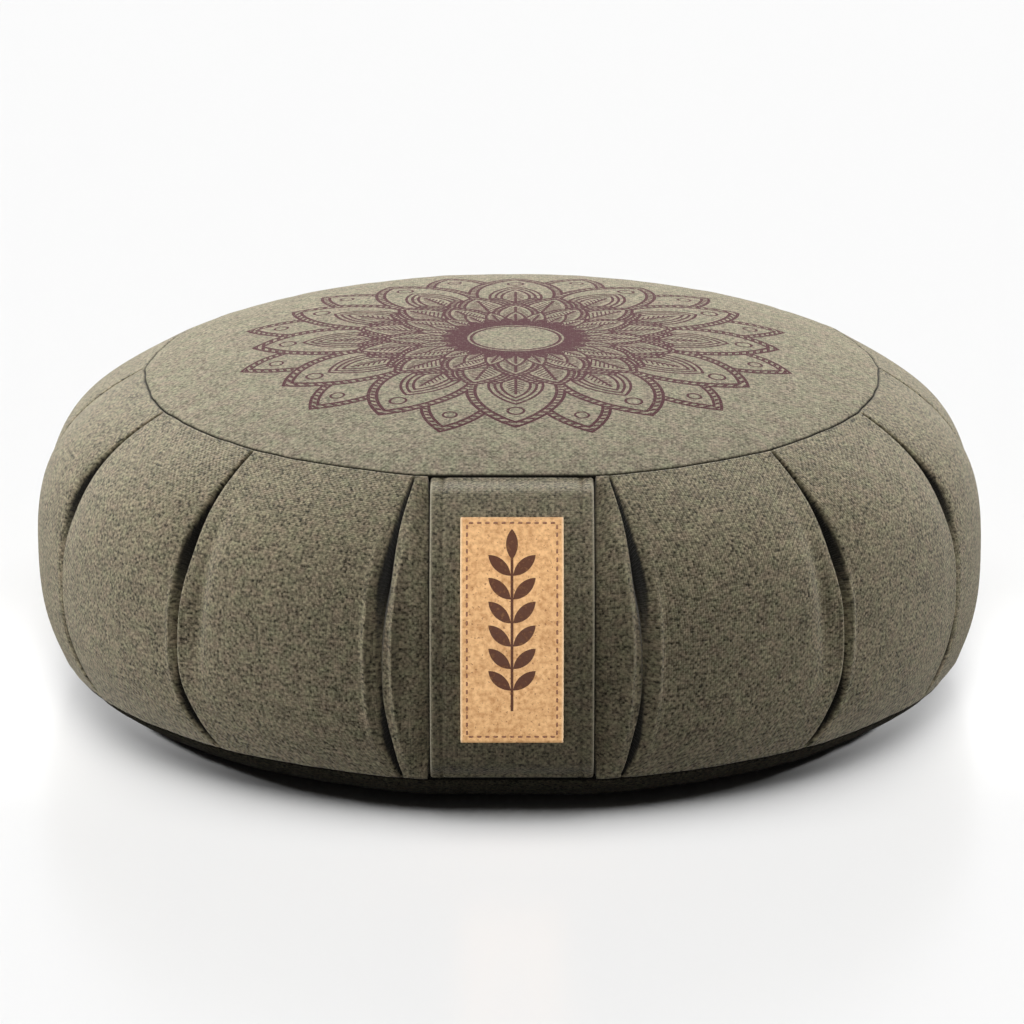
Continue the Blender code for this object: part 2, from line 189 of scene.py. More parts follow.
def side_section():
    """Stations, radii and heights along the side: a superellipse quarter above the widest ring and
    another below it, each cut off at its seam."""

    def superellipse(heights, power, seam_radius, seam_height):
        cut = (1 - (seam_radius / WIDEST_RADIUS) ** power) ** (1 / power)
        reach = (seam_height - WIDEST_HEIGHT) / cut
        return WIDEST_RADIUS * (1 - ((heights - WIDEST_HEIGHT) / reach) ** power) ** (1 / power)

    upper = np.linspace(TOP_SEAM_HEIGHT, WIDEST_HEIGHT, SECTION_SAMPLES)
    lower = np.linspace(WIDEST_HEIGHT, BOTTOM_SEAM_HEIGHT, SECTION_SAMPLES)[1:]
    radii = np.concatenate((
        superellipse(upper, UPPER_SIDE_POWER, TOP_SEAM_RADIUS, TOP_SEAM_HEIGHT),
        superellipse(lower, LOWER_SIDE_POWER, BOTTOM_SEAM_RADIUS, BOTTOM_SEAM_HEIGHT),
    ))
    heights = np.concatenate((upper, lower))
    steps = np.hypot(np.diff(radii), np.diff(heights))
    return np.concatenate(([0.0], np.cumsum(steps))), radii, heights


SECTION_STATIONS, *SECTION_LINES = side_section()
SECTION_LINES += [np.gradient(line, SECTION_STATIONS) for line in SECTION_LINES]
SIDE_LENGTH = float(SECTION_STATIONS[-1])


def section_at(station):
    """Radius, height and the outward normal's radial and vertical parts at a station."""
    at_station = [np.interp(station, SECTION_STATIONS, line) for line in SECTION_LINES]
    radius, height, radius_slope, height_slope = at_station
    length = np.hypot(radius_slope, height_slope)
    return radius, height, -height_slope / length, radius_slope / length


def hill(value, centre, spread):
    """A smooth hill of height 1: e to the power of minus the square of the distance in spreads."""
    return np.exp(-(((value - centre) / spread) ** 2))


def down_the_side(relief, station):
    """One of the reliefs that come and go down the side, at a station."""
    size, centre, spread = relief
    return size * hill(station / SIDE_LENGTH, centre, spread)


def off_seams(station):
    """0 at both seams, where the cloth is held, and 1 half way between them, along half a sine."""
    return np.sin(np.pi * station / SIDE_LENGTH)


def ease(value):
    """0 below 0, 1 above 1, and a smooth S between them."""
    part = np.clip(value, 0.0, 1.0)
    return part * part * (3 - 2 * part)


def side_pleats(station):
    """Azimuths of one side's pleats at a station. Their lines bow to the back half way down, along
    half a sine, and swing to the front above the bottom seam, along a cube."""
    part = np.asarray(station)[..., None] / SIDE_LENGTH
    top, middle, bottom = PLEAT_LINES.T
    swing = np.maximum((part - SWING_START) / (1 - SWING_START), 0.0) ** 3
    return top + (middle - top) * np.sin(np.pi * part) + (bottom - top) * swing


def nearest_pleat(azimuth, station):
    """The form of the nearest pleat, the angle from it, positive away from the front, and the part
    of the way from it to where the gore swells fully, from 0 to 1."""
    side = side_pleats(station)
    pleats = np.concatenate((-side, side), axis=-1)
    gaps = (azimuth[..., None] - pleats + math.pi) % (2 * math.pi) - math.pi
    nearest = np.abs(gaps).argmin(axis=-1)[..., None]
    angle = np.take_along_axis(gaps, nearest, axis=-1)[..., 0]
    part = np.minimum(np.abs(angle) / PLEAT_REACH, 1.0)
    form = np.moveaxis(PLEAT_FORMS[nearest[..., 0] % len(PLEAT_FORMS)], -1, 0)
    return form, angle * np.sign(azimuth), part


def slit_half_width(upper_opening, lower_opening, station):
    """Half the width of a pleat's slit: it gapes above the middle and above the bottom seam."""
    upper = upper_opening * down_the_side(UPPER_SLIT_WIDENING, station)
    lower = lower_opening * down_the_side(LOWER_SLIT_WIDENING, station)
    return SLIT_HALF_WIDTH + upper + lower


def pleat_slit(azimuth, station):
    """Depth of the slit that each pleat makes: a deep one under the top seam, a shallow wide groove
    half way down and a deep one again above the bottom seam."""
    free = off_seams(station)
    (_, rolled, _, *openings), angle, _ = nearest_pleat(azimuth, station)
    ends = down_the_side(UPPER_SLIT_DEPTH, station) + down_the_side(LOWER_SLIT_DEPTH, station)
    depth = MIDDLE_GROOVE_DEPTH * rolled * free + ends
    open_part = 1 - hill(free, 0.0, SLIT_CLOSING)
    distance = angle * section_at(station)[0]
    return depth * open_part * hill(distance, 0.0, slit_half_width(*openings, station))


def pleat_relief(azimuth, station):
    """How far the cloth stands out from the plain section: gores swell between the pleats, each
    pleat is a slit with rounded lips, and it has a rolled edge on both sides and a soft valley
    towards the front."""
    free = off_seams(station)
    (edge, rolled, sunk, *openings), angle, part = nearest_pleat(azimuth, station)
    distance = angle * section_at(station)[0]
    dip = (1 - part) ** 2
    swell = free * (down_the_side(SHOULDER_SWELL, station) * (1 - dip) - PLEAT_LINE_SINK * dip)
    half_slit = slit_half_width(*openings, station)
    lips = LIP_DEPTH * free * hill(distance, 0.0, LIP_WIDENING * half_slit)
    rolls = down_the_side(ROLLED_EDGE_HEIGHT, station) * rolled
    rolls = rolls * hill(np.abs(distance), edge, ROLLED_EDGE_SPREAD)
    valley = down_the_side(VALLEY_DEPTH, station) * sunk * hill(-distance, *VALLEY_LINE)
    return swell - pleat_slit(azimuth, station) - lips + rolls - valley


def sum_of_sines(waves, azimuth):
    """The sum of sines round the cushion, each given by its size, number of waves and phase."""
    return sum(size * np.sin(count * azimuth + phase) for size, count, phase in waves)


def filling_unevenness(azimuth, station):
    """The loose filling settles unevenly: it fills the left side more than the right, and hangs
    lowest at the front left."""
    uneven = sum_of_sines(WAVES, azimuth) - SIDE_LEAN * np.sin(azimuth)
    uneven = uneven + SAG * hill(azimuth, *SAG_AZIMUTH) * hill(station, *SAG_STATION)
    return off_seams(station) * uneven


def from_seam(station):
    """Distance from the nearer seam."""
    return np.minimum(station, SIDE_LENGTH - station)


def seam_draw_in(azimuth, station):
    """The gathered seams are drawn in a little between the pleats, which makes them many-sided."""
    part = nearest_pleat(azimuth, station)[2]
    near = hill(from_seam(station), 0.0, SEAM_DRAW_IN_REACH)
    return SEAM_DRAW_IN * (1 - (1 - part) ** 2) * near


def seam_waver(azimuth, station):
    """The seams waver a little in and out, as a sum of sines that fades away from them."""
    return sum_of_sines(SEAM_WAVER, azimuth) * hill(from_seam(station), 0.0, SEAM_WAVER_REACH)


def beside_strap(x, y, station):
    """How far the cloth at the front is pressed in along both edges of the strap."""
    depth = strap_lift(station, 0.0, BESIDE_STRAP_DEPTH)
    return np.where(y < 0, depth * hill(np.abs(x), *BESIDE_STRAP_LINE), 0.0)


def rolled_down(from_edge, radius=SEAM_ROLL_RADIUS):
    """How far cloth has rolled down at a distance from its edge, along a quarter circle."""
    part = np.clip(1 - from_edge / radius, 0.0, 1.0)
    return radius * (1 - np.sqrt(1 - part**2))


def flat_front(station):
    """Depth and height of the flat front at a station: the chord between two points of the side."""
    radius, height, out, up = section_at(station)
    corner = np.arcsin(FLAT_FRONT_HALF_WIDTH / radius)
    relief = pleat_relief(corner, station)
    reach = radius + relief * out - seam_draw_in(corner, station)
    return -np.sqrt(reach**2 - FLAT_FRONT_HALF_WIDTH**2), height + relief * up


def strap_direction(station):
    """Which way the strap's thickness goes, as depth and height: square to the side, but upright
    at the seams, where its ends stand against the edges of the round panels."""
    out, up = section_at(station)[2:]
    free = np.minimum(from_seam(station) / STRAP_SINK_LENGTH, 1.0)
    depth, height = -out * free, up * free + np.sign(up) * (1 - free)
    length = np.hypot(depth, height)
    return depth / length, height / length


def strap_lift(station, end_value, middle_value):
    """A value that eases from the seams to the strap's free stretch."""
    free = from_seam(station) / STRAP_SINK_LENGTH
    return end_value + (middle_value - end_value) * ease(free)


def points_of(*coordinates):
    """An array of points whose coordinates are spread over one another's rows and columns."""
    return np.stack(np.broadcast_arrays(*coordinates), axis=-1)


def on_flat_front(x, station, lift):
    """Points of the flat front at x, lifted off it by a distance, as an array of rows of points."""
    y, z = flat_front(station)
    depth, height = strap_direction(station)
    return points_of(x, y + lift * depth, z + lift * height)


def side_points(azimuth, station):
    """The side band's outer face on a grid of stations by azimuths. Behind the strap the front is
    pulled flat, it is pressed in along the strap's edges, and near the seams it makes a bed for
    the strap's ends."""
    radius, height, out, up = section_at(station)
    relief = pleat_relief(azimuth, station) + filling_unevenness(azimuth, station)
    x = radius * np.sin(azimuth)
    y = -radius * np.cos(azimuth)
    sunk = rolled_down(from_seam(station)) + beside_strap(x, y, station)
    relief = relief - sunk
    reach = radius + relief * out - seam_draw_in(azimuth, station) + seam_waver(azimuth, station)
    points = points_of(reach * np.sin(azimuth), -reach * np.cos(azimuth), height + relief * up)
    in_bed = ease((STRAP_BED_HALF_WIDTH + STRAP_BED_RIM - np.abs(x)) / STRAP_BED_RIM)
    bed = strap_lift(station, SEAM_BED_DEPTH, 0.0) * in_bed
    flat = on_flat_front(points[..., 0], station, -sunk - bed)
    behind_strap = (np.abs(x) < FLAT_FRONT_HALF_WIDTH) & (y < 0)
    return np.where(behind_strap[..., None], flat, points)


def side_columns():
    """The side's azimuths along the top seam: close together at the pleats and beside the strap,
    and wider apart in the middle of each gore, with spacings that grow along a hyperbolic sine."""
    step = np.linspace(0.0, 1.0, COLUMNS_PER_HALF_GORE + 1)
    growing = np.sinh(COLUMN_CROWDING * step) / math.sinh(COLUMN_CROWDING)
    pleats = PLEAT_LINES[:, 0]
    under_strap = np.linspace(0.0, UNDER_STRAP_AZIMUTH, UNDER_STRAP_COLUMNS)[:-1]
    half = [under_strap, np.linspace(UNDER_STRAP_AZIMUTH, pleats[0], STRAP_EDGE_COLUMNS)]
    for pleat, following in zip(pleats, pleats[1:]):
        half_gore = (following - pleat) / 2
        half += [pleat + half_gore * growing[1:], following - half_gore * growing[-2::-1]]
    half.append(pleats[-1] + (math.pi - pleats[-1]) * growing[1:])
    half = np.concatenate(half)
    return np.concatenate((-half[:0:-1], half))[1:]


def follow_pleats(azimuth, station):
    """Rows of azimuths at a column of stations: azimuths along the top seam, shifted as the pleats
    are, in even parts of the way from one pleat to the next."""
    def whole_turn(side):
        return np.concatenate(([-math.pi], -side[::-1], [0.0], side, [math.pi]))

    at_top = whole_turn(PLEAT_LINES[:, 0])
    return np.array([
        np.interp(azimuth, at_top, whole_turn(side)) for side in side_pleats(station[:, 0])
    ])


def crown_height(part):
    """Height of the top cloth where part is 0 at the middle and 1 at the seam."""
    return TOP_SEAM_HEIGHT + (HEIGHT - TOP_SEAM_HEIGHT) * (1 - part**CROWN_POWER)


def underside_height(part):
    """Height of the underside cloth: flat where it rests, then curving up to the seam."""
    rest_part = REST_RADIUS / BOTTOM_SEAM_RADIUS
    rise = np.maximum(part - rest_part, 0.0) / (1 - rest_part)
    return BOTTOM_SEAM_HEIGHT * rise**2


def rings_inside(outline, parts, heights):
    """Rings of points inside an outline: the outline shrunk to each part, at each part's height."""
    x, y, _ = outline.T
    return points_of(x * parts[:, None], y * parts[:, None], heights[:, None])


def side_painted_shade(azimuth, station):
    """Painted shade on the side band's cloth, from 0 to 1: how far its colour is darkened to stand
    for the shade in the slits of the pleats, down in both seams and tight against the strap's
    edges."""
    from_strap = np.abs(np.abs(np.sin(azimuth)) * section_at(station)[0] - STRAP_BED_HALF_WIDTH)
    in_slit = ease((pleat_slit(azimuth, station) - PAINTED_SHADE_DEPTHS[0]) / np.ptp(PAINTED_SHADE_DEPTHS))
    in_slit = in_slit * (1 - down_the_side(MIDDLE_PAINTED_SHADE_LOSS, station))
    in_seam = ease(1 - from_seam(station) / SEAM_PAINTED_SHADE_REACH)
    at_strap = ease(1 - from_strap / STRAP_PAINTED_SHADE_REACH) * (np.cos(azimuth) > 0)
    return np.maximum(np.maximum(in_slit, in_seam), at_strap)


def loft_faces(count, around):
    """Faces of a closed mesh of rings of points, which run counterclockwise as seen from the first
    pole, followed by both poles: four-sided ones from ring to ring, and a fan at each pole."""
    here = np.arange(around)
    after = (here + 1) % around
    row = np.arange(count - 1)[:, None] * around
    quads = np.stack((row + here, row + around + here, row + around + after, row + after), axis=-1)
    first, last = np.full(around, count * around), np.full(around, count * around + 1)
    end = (count - 1) * around
    fans = ((first, here, after), (last, end + after, end + here))
    fans = np.concatenate([np.column_stack(fan) for fan in fans])
    return quads.reshape(-1, 4).tolist() + fans.tolist()


def piece_of(name, points, faces):
    """A smooth piece made of points and faces."""
    mesh = bpy.data.meshes.new(name)
    mesh.from_pydata(points, [], faces)
    mesh.shade_smooth()
    mesh.update()
    return add_object(name, mesh)


def lofted_piece(name, rings, first_pole, last_pole, left_uv=None, right_uv=None, painted_shades=None):
    """A closed piece through rings of points and a pole at each end. The two arrays of UV places
    are those of each face's left and right edge, and the last array tells how much painted shade,
    standing for the shade in folds and seams, darkens each point."""
    points = np.concatenate((rings.reshape(-1, 3), [first_pole, last_pole]))
    piece = piece_of(name, points.tolist(), loft_faces(*rings.shape[:2]))
    if left_uv is not None:
        layer = piece.data.uv_layers.new(name="cloth")
        corners = np.stack((left_uv[:-1], left_uv[1:], right_uv[1:], right_uv[:-1]), axis=2)
        ends = np.concatenate((
            np.stack((left_uv[0], left_uv[0], right_uv[0]), axis=1),
            np.stack((left_uv[-1], right_uv[-1], left_uv[-1]), axis=1),
        ))
        places = np.concatenate((corners.ravel(), ends.ravel()))
        layer.data.foreach_set("uv", places.astype(np.float32))
    # Painted shade: a per-point share that darkens the linen's colour.
    if painted_shades is not None:
        attribute = piece.data.attributes.new("painted_shade", "FLOAT", "POINT")
        values = np.append(np.broadcast_to(painted_shades, rings.shape[:2]).ravel(), (0.0, 0.0))
        attribute.data.foreach_set("value", values.astype(np.float32))
    return piece


def side_cloth_places(columns, azimuth, station):
    """Where each face's left and right edge lies on the flat cloth: across from the middle of its
    own gore, so that the weave is cut off at the pleats, and down from the top seam."""
    side = side_pleats(station[:, 0])
    lines = np.concatenate((-side[:, ::-1], side, 2 * math.pi - side[:, -1:]), axis=1)
    back = np.full((len(lines), 1), -math.pi)
    middles = np.concatenate((back, (lines[:, 1:] + lines[:, :-1]) / 2), axis=1)
    edges = np.append(columns, columns[0] + 2 * math.pi)
    gore = np.searchsorted(lines[0], (edges[1:] + edges[:-1]) / 2)
    around = np.concatenate((azimuth, azimuth[:, :1] + 2 * math.pi), axis=1)
    radius = section_at(station)[0]
    across = [
        (edge - middles[:, gore]) * radius + gore % (2 * len(PLEAT_LINES)) * GORE_CLOTH_STEP
        for edge in (around[:, :-1], around[:, 1:])
    ]
    return [points_of(u, station) for u in across]


def rows_down(count):
    """A column of parts of the way down, closer together at both ends, along a sine."""
    part = np.linspace(0.0, 1.0, count + 1)[:, None]
    return part - ROW_EASING * np.sin(2 * np.pi * part) / (2 * np.pi)


row_stations = SIDE_LENGTH * rows_down(SIDE_ROWS)
columns = side_columns()
column_azimuths = follow_pleats(columns, row_stations)
side_rows = side_points(column_azimuths, row_stations)
seat_parts = np.array(SEAT_RINGS)
seat_depth = PANEL_THICKNESS + GAP
upper_seat = rings_inside(side_rows[0], seat_parts, crown_height(seat_parts) - seat_depth)
lower_seat = rings_inside(side_rows[-1], seat_parts, underside_height(seat_parts) + seat_depth)
body_rings = np.concatenate((upper_seat, side_rows, lower_seat[::-1]))
ring_rows = np.pad(np.arange(len(side_rows)), len(seat_parts), mode="edge")
ring_stations = row_stations[ring_rows]
ring_azimuths = column_azimuths[ring_rows]
pleated_side = lofted_piece(
    "pleated_side",
    body_rings,
    (0.0, 0.0, HEIGHT - seat_depth),
    (0.0, 0.0, seat_depth),
    *side_cloth_places(columns, ring_azimuths, ring_stations),
    # painted shade of each point, standing for the shade in slits, seams and beside the strap
    side_painted_shade(ring_azimuths, ring_stations),
)


def operator(operation):
    """A method that works on a wire and another value with a Math node."""
    return lambda wire, other: maths(operation, wire, other)


class Wire:
    """A node's output. Arithmetic and comparisons on it, as on a number, add Math nodes."""

    __add__ = operator("ADD")
    __sub__ = operator("SUBTRACT")
    __mul__ = operator("MULTIPLY")
    __truediv__ = operator("DIVIDE")
    __mod__ = operator("FLOORED_MODULO")
    __lt__ = operator("LESS_THAN")
    __gt__ = operator("GREATER_THAN")

    def __init__(self, node, output=0):
        self.tree, self.socket = node.id_data, node.outputs[output]

    def __rsub__(self, other):
        return maths("SUBTRACT", other, self)

    def __rtruediv__(self, other):
        return maths("DIVIDE", other, self)

    def __abs__(self):
        return maths("ABSOLUTE", self)


def feed(node, inputs):
    """Joins a node's inputs, given by name or number, to wires or sets them to plain values."""
    for name, value in inputs.items():
        if isinstance(value, Wire):
            value.tree.links.new(value.socket, node.inputs[name])
        else:
            node.inputs[name].default_value = value


def add_node(tree, kind, inputs=None, **options):
    """A shader node of a kind, with its options set and its inputs fed."""
    made = tree.nodes.new("ShaderNode" + kind)
    for name, value in options.items():
        setattr(made, name, value)
    feed(made, inputs or {})
    return made


def maths(operation, *values):
    """The wire out of a Math node that works on wires and numbers."""
    tree = next(value.tree for value in values if isinstance(value, Wire))
    return Wire(add_node(tree, "Math", dict(enumerate(values)), operation=operation))


def greatest(first, *others):
    """The greatest of several wires and numbers."""
    for other in others:
        first = maths("MAXIMUM", first, other)
    return first


def vector_maths(operation, *values, output="Vector"):
    """A wire out of a Vector Math node that works on wires and vectors, the first one a wire."""
    inputs = dict(enumerate(values))
    return Wire(add_node(values[0].tree, "VectorMath", inputs, operation=operation), output)


def vector_of(x, y, z=0.0):
    """A vector from a wire and two more wires or numbers."""
    return Wire(add_node(x.tree, "CombineXYZ", {0: x, 1: y, 2: z}))


def across_and_down(place):
    """The first two coordinates of a place."""
    parts = add_node(place.tree, "SeparateXYZ", {0: place})
    return Wire(parts, 0), Wire(parts, 1)


def noise(place, scale, detail=2.0, roughness=0.5):
    """Noise at a place, from about 0.25 to 0.75."""
    inputs = {"Vector": place, "Scale": scale, "Detail": detail, "Roughness": roughness}
    return Wire(add_node(place.tree, "TexNoise", inputs), "Fac")


def ramp(value, low, high, to_low=0.0, to_high=1.0):
    """Value taken from the range low to high to the range to_low to to_high, and held there."""
    inputs = dict(enumerate((value, low, high, to_low, to_high)))
    return Wire(add_node(value.tree, "MapRange", inputs), "Result")


def pick(share, first, second):
    """The first value where share is 0 and the second where it is 1."""
    return Wire(add_node(share.tree, "Mix", {0: share, 2: first, 3: second}))


def blend_colours(share, first, second):
    """The first colour where share is 0 and the second where it is 1."""
    inputs = {0: share, 6: first, 7: second}
    return Wire(add_node(share.tree, "Mix", inputs, data_type="RGBA"), 2)


def new_group(name, inputs, outputs):
    """An empty node group with inputs and outputs of given kinds: its inputs' wires by name, and
    the node that its outputs are fed to."""
    group = bpy.data.node_groups.new(name, "ShaderNodeTree")
    for way, sockets in (("INPUT", inputs), ("OUTPUT", outputs)):
        for label, kind in sockets.items():
            group.interface.new_socket(label, in_out=way, socket_type="NodeSocket" + kind)
    start = group.nodes.new("NodeGroupInput")
    given = {label: Wire(start, label) for label in inputs}
    return group, given, group.nodes.new("NodeGroupOutput")


def new_finish(piece, name, space):
    """The shader of a piece's new material, and the wire of the places on the piece, in a space:
    UV on its own cloth, or Object."""
    material = bpy.data.materials.new(name)
    material.use_nodes = True
    piece.data.materials.append(material)
    shader = material.node_tree.nodes["Principled BSDF"]
    return shader, Wire(add_node(material.node_tree, "TexCoord"), space)


THREAD_PITCH = 0.0009
THREAD_WAVER = 0.0006
THREAD_WAVER_SCALE = 260.0
THREAD_DRIFT_SCALE = 0.16
WARP_STEP = 7.31
WEFT_STEP = 5.17
WEFT_LEVEL = 40.0
MOTTLE_SCALE = 810.0
CLOUD_SCALE = 110.0
TINT_SCALE = 210.0
BASE_TONE = -0.30
DRIFT_TONE = 0.36
CROSSING_TONE = 0.44
MOTTLE_TONE = 0.84
CLOUD_TONE = 0.08
THREAD_EDGE_TONE = 0.82
LINEN_ROUGHNESS = (0.96, 0.86)
YARN_TINTS = ((0.96, 1.03, 0.97, 1.0), (1.05, 0.97, 1.01, 1.0))


def make_linen_weave():
    """Plain weave of heathered yarn. Each warp and weft thread has a tone that drifts along it,
    each crossing adds its own, and mottling a little coarser than the threads lies over both, while
    the yarn drifts between a green and a pink tint. The height is that of whichever thread lies on
    top."""
    tree, given, result = new_group(
        "linen_weave",
        {"Place": "Vector", "Pitch": "Float", "Dark": "Color", "Light": "Color"},
        {"Colour": "Color", "Height": "Float", "Roughness": "Float"},
    )
    place, pitch = given["Place"], given["Pitch"]
    waver = noise(place, THREAD_WAVER_SCALE, 1.0) * THREAD_WAVER
    across, down = ((part + waver) / pitch for part in across_and_down(place))
    warp, weft = maths("FLOOR", across), maths("FLOOR", down)

    def roundness(value):
        """1 on a thread's middle line and 0 at its edges, as a parabola."""
        centred = maths("FRACT", value) * 2.0 - 1.0
        return 1.0 - centred * centred

    warp_on_top = (warp + weft) % 2.0
    relief = pick(warp_on_top, roundness(down), roundness(across))
    warp_tone = noise(vector_of(warp * WARP_STEP, down), THREAD_DRIFT_SCALE, 1.0)
    weft_tone = noise(vector_of(across, weft * WEFT_STEP, WEFT_LEVEL), THREAD_DRIFT_SCALE, 1.0)
    drift = ramp(pick(warp_on_top, weft_tone, warp_tone), 0.25, 0.75)
    crossing = {"Vector": vector_of(warp, weft)}
    crossing = Wire(add_node(tree, "TexWhiteNoise", crossing, noise_dimensions="2D"), "Value")
    mottle = ramp(noise(place, MOTTLE_SCALE, 2.0, 0.6), 0.30, 0.70)
    tone = drift * DRIFT_TONE + BASE_TONE + crossing * CROSSING_TONE + mottle * MOTTLE_TONE
    tone = tone + ramp(noise(place, CLOUD_SCALE), 0.25, 0.75, -CLOUD_TONE, CLOUD_TONE)
    tone = tone * ramp(relief, 0.0, 0.6, THREAD_EDGE_TONE, 1.0)
    colour = blend_colours(tone, given["Dark"], given["Light"])
    tint = blend_colours(ramp(noise(place, TINT_SCALE), 0.3, 0.7), *YARN_TINTS)
    feed(result, {
        "Colour": vector_maths("MULTIPLY", colour, tint),
        "Height": relief,
        "Roughness": ramp(relief, 0.0, 1.0, *LINEN_ROUGHNESS),
    })
    return tree


LINEN_WEAVE = make_linen_weave()
LINEN_DARK = (0.026, 0.022, 0.012, 1.0)
LINEN_LIGHT = (0.422, 0.366, 0.238, 1.0)
# Painted shade: the near-black that the linen is darkened to in the slits, the seams and beside the
# strap.
PAINTED_FOLD_SHADE = (0.006, 0.005, 0.003, 1.0)
WEAVE_DEPTH = 0.00012
LINEN_SHEEN = 0.26
LINEN_SHEEN_ROUGHNESS = 0.5
LINEN_SHEEN_TINT = (1.0, 0.97, 0.90, 1.0)
LINEN_SPECULAR = 0.2


def dress_in_linen(piece, name, space, dark=LINEN_DARK, light=LINEN_LIGHT):
    """Gives a piece a matt linen finish, darkened by painted shade in its folds and seams where its
    points carry it. Space is UV where the weave follows the piece's own cloth, or Object where it
    is cut flat. Returns the shader and the wires of the places and of the colour."""
    shader, place = new_finish(piece, name, space)
    tree = place.tree
    weave = {"Place": place, "Pitch": THREAD_PITCH, "Dark": dark, "Light": light}
    weave = add_node(tree, "Group", weave, node_tree=LINEN_WEAVE)
    bump = add_node(tree, "Bump", {"Height": Wire(weave, "Height"), "Distance": WEAVE_DEPTH})
    # Painted shade: a per-point attribute blends the colour towards a near-black, standing for the
    # shade in slits, seams and beside the strap.
    painted_shade = Wire(add_node(tree, "Attribute", attribute_name="painted_shade"), "Fac")
    colour = blend_colours(painted_shade, Wire(weave, "Colour"), PAINTED_FOLD_SHADE)
    feed(shader, {
        "Base Color": colour,
        "Roughness": Wire(weave, "Roughness"),
        "Normal": Wire(bump),
        "Specular IOR Level": LINEN_SPECULAR,
        "Sheen Weight": LINEN_SHEEN,
        "Sheen Roughness": LINEN_SHEEN_ROUGHNESS,
        "Sheen Tint": LINEN_SHEEN_TINT,
    })
    return shader, place, colour


dress_in_linen(pleated_side, "side_linen", "UV")
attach(pleated_side, "root")
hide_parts("pleated_body")

# ---- The underside ----
# A round piece of the same linen, sewn to the band's lower edge. The filling presses it flat on the
# floor, and it curves up to its seam.
PANEL_COLUMNS = 468
PANEL_RIM_STEPS = (2.0, 1.0, 0.75, 0.5, 0.3, 0.15, 0.05, 0.0)
BOTTOM_PANEL_RINGS = (0.20, 0.45, 0.70, 0.80, 0.835, 0.86, 0.89, 0.92, 0.945, 0.965, 0.98)


def panel_outline(station):
    """The edge of a round panel: the seam's line, just inside the side band."""
    azimuth = np.linspace(-math.pi, math.pi, PANEL_COLUMNS, endpoint=False)
    radius, height = section_at(station)[:2]
    reach = radius - seam_draw_in(azimuth, station) + seam_waver(azimuth, station)
    x, y = reach * np.sin(azimuth), -reach * np.cos(azimuth)
    behind_strap = (np.abs(x) < FLAT_FRONT_HALF_WIDTH) & (y < 0)
    y = np.where(behind_strap, flat_front(station)[0], y)
    inset = 1 - SEAM_GAP / np.hypot(x, y)
    return points_of(x * inset, y * inset, height)


def round_panel(name, station, radius, rings, height_at, facing, inner_step):
    """A round panel of cloth inside the seam at a station, which rolls down into it. Its outer face
    lies at the height that height_at gives for a part of the radius and faces up (1) or down (-1);
    its inner face lies one thickness behind, with fewer rings."""
    parts = np.append(rings, 1 - SEAM_ROLL_RADIUS * np.array(PANEL_RIM_STEPS) / radius)
    outline, from_edge = panel_outline(station), (1 - parts) * radius
    heights = height_at(parts * (1 - SEAM_GAP / radius))
    behind = facing * PANEL_THICKNESS
    outer = rings_inside(outline, parts, heights - facing * rolled_down(from_edge))
    inner = rings_inside(outline, parts[::inner_step], heights[::inner_step] - behind)
    # Painted shade: the cloth darkens where it rolls down into the seam.
    painted_shades = ease(1 - from_edge / SEAM_PAINTED_SHADE_REACH)[:, None]
    faces = [(outer, painted_shades, height_at(0.0)), (inner, painted_shades[::inner_step], height_at(0.0) - behind)]
    (upper, upper_painted_shades, top), (lower, lower_painted_shades, bottom) = faces[::facing]
    rings = np.concatenate((upper, lower[::-1]))
    painted_shades = np.concatenate((upper_painted_shades, lower_painted_shades[::-1]))
    return lofted_piece(name, rings, (0.0, 0.0, top), (0.0, 0.0, bottom), painted_shades=painted_shades)


underside = round_panel(
    "underside", SIDE_LENGTH, BOTTOM_SEAM_RADIUS, BOTTOM_PANEL_RINGS, underside_height, -1, 1
)
dress_in_linen(underside, "underside_linen", "Object")
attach(underside, "root")
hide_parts("bottom_panel")

# ---- The top and its printed rosette ----
# A round piece of the linen, sewn to the band's upper edge and domed by the filling. A line
# rosette with twelve large petals is printed on it in one dark maroon ink.
TOP_PANEL_RINGS = np.linspace(0.04, 0.98, 41)
# Painted light: the top's linen is a lighter, paler, lower-contrast copy of the side's linen,
# standing for the sheen and light that the top catches.
TOP_LIT_LINEN_DARK = (0.118, 0.106, 0.075, 1.0)
TOP_LIT_LINEN_LIGHT = (0.424, 0.380, 0.270, 1.0)
TOP_LINEN_SHEEN = 0.07
TOP_LINEN_SPECULAR = 0.1

top_cloth = round_panel("top_cloth", 0.0, TOP_SEAM_RADIUS, TOP_PANEL_RINGS, crown_height, 1, 4)


def make_petal():
    """Distance from the outline of a petal, below 0 inside it. Two equal arcs that meet at its base
    and its tip outline it; with h half its length and w half its width their radius is
    (h * h + w * w) / (2 * w). Along is measured on its axis and Across square to that."""
    labels = ("Across", "Along", "Base", "Tip", "Half Width")
    tree, given, result = new_group("petal", dict.fromkeys(labels, "Float"), {"Distance": "Float"})
    across, along, base, tip, half_width = given.values()
    half_length = (tip - base) * 0.5
    arc = (half_length * half_length + half_width * half_width) / (half_width * 2.0)
    middle = (tip + base) * 0.5
    from_centre = vector_of(abs(across) + arc - half_width, along - middle)
    feed(result, {"Distance": vector_maths("LENGTH", from_centre, output="Value") - arc})
    return tree


def petal_distance(*measures):
    """Distance from a petal's outline: Across, Along, and its Base, Tip and Half Width."""
    tree = measures[0].tree
    return Wire(add_node(tree, "Group", dict(enumerate(measures)), node_tree=PETAL))


VEIN_SLOPE = 0.9
VEIN_SHARE = 0.40
VEIN_START = 0.9
WHOLE_TURNS = 64.0
BEAD_PITCH = 0.9
BEAD_HALF_HEIGHT = 0.26


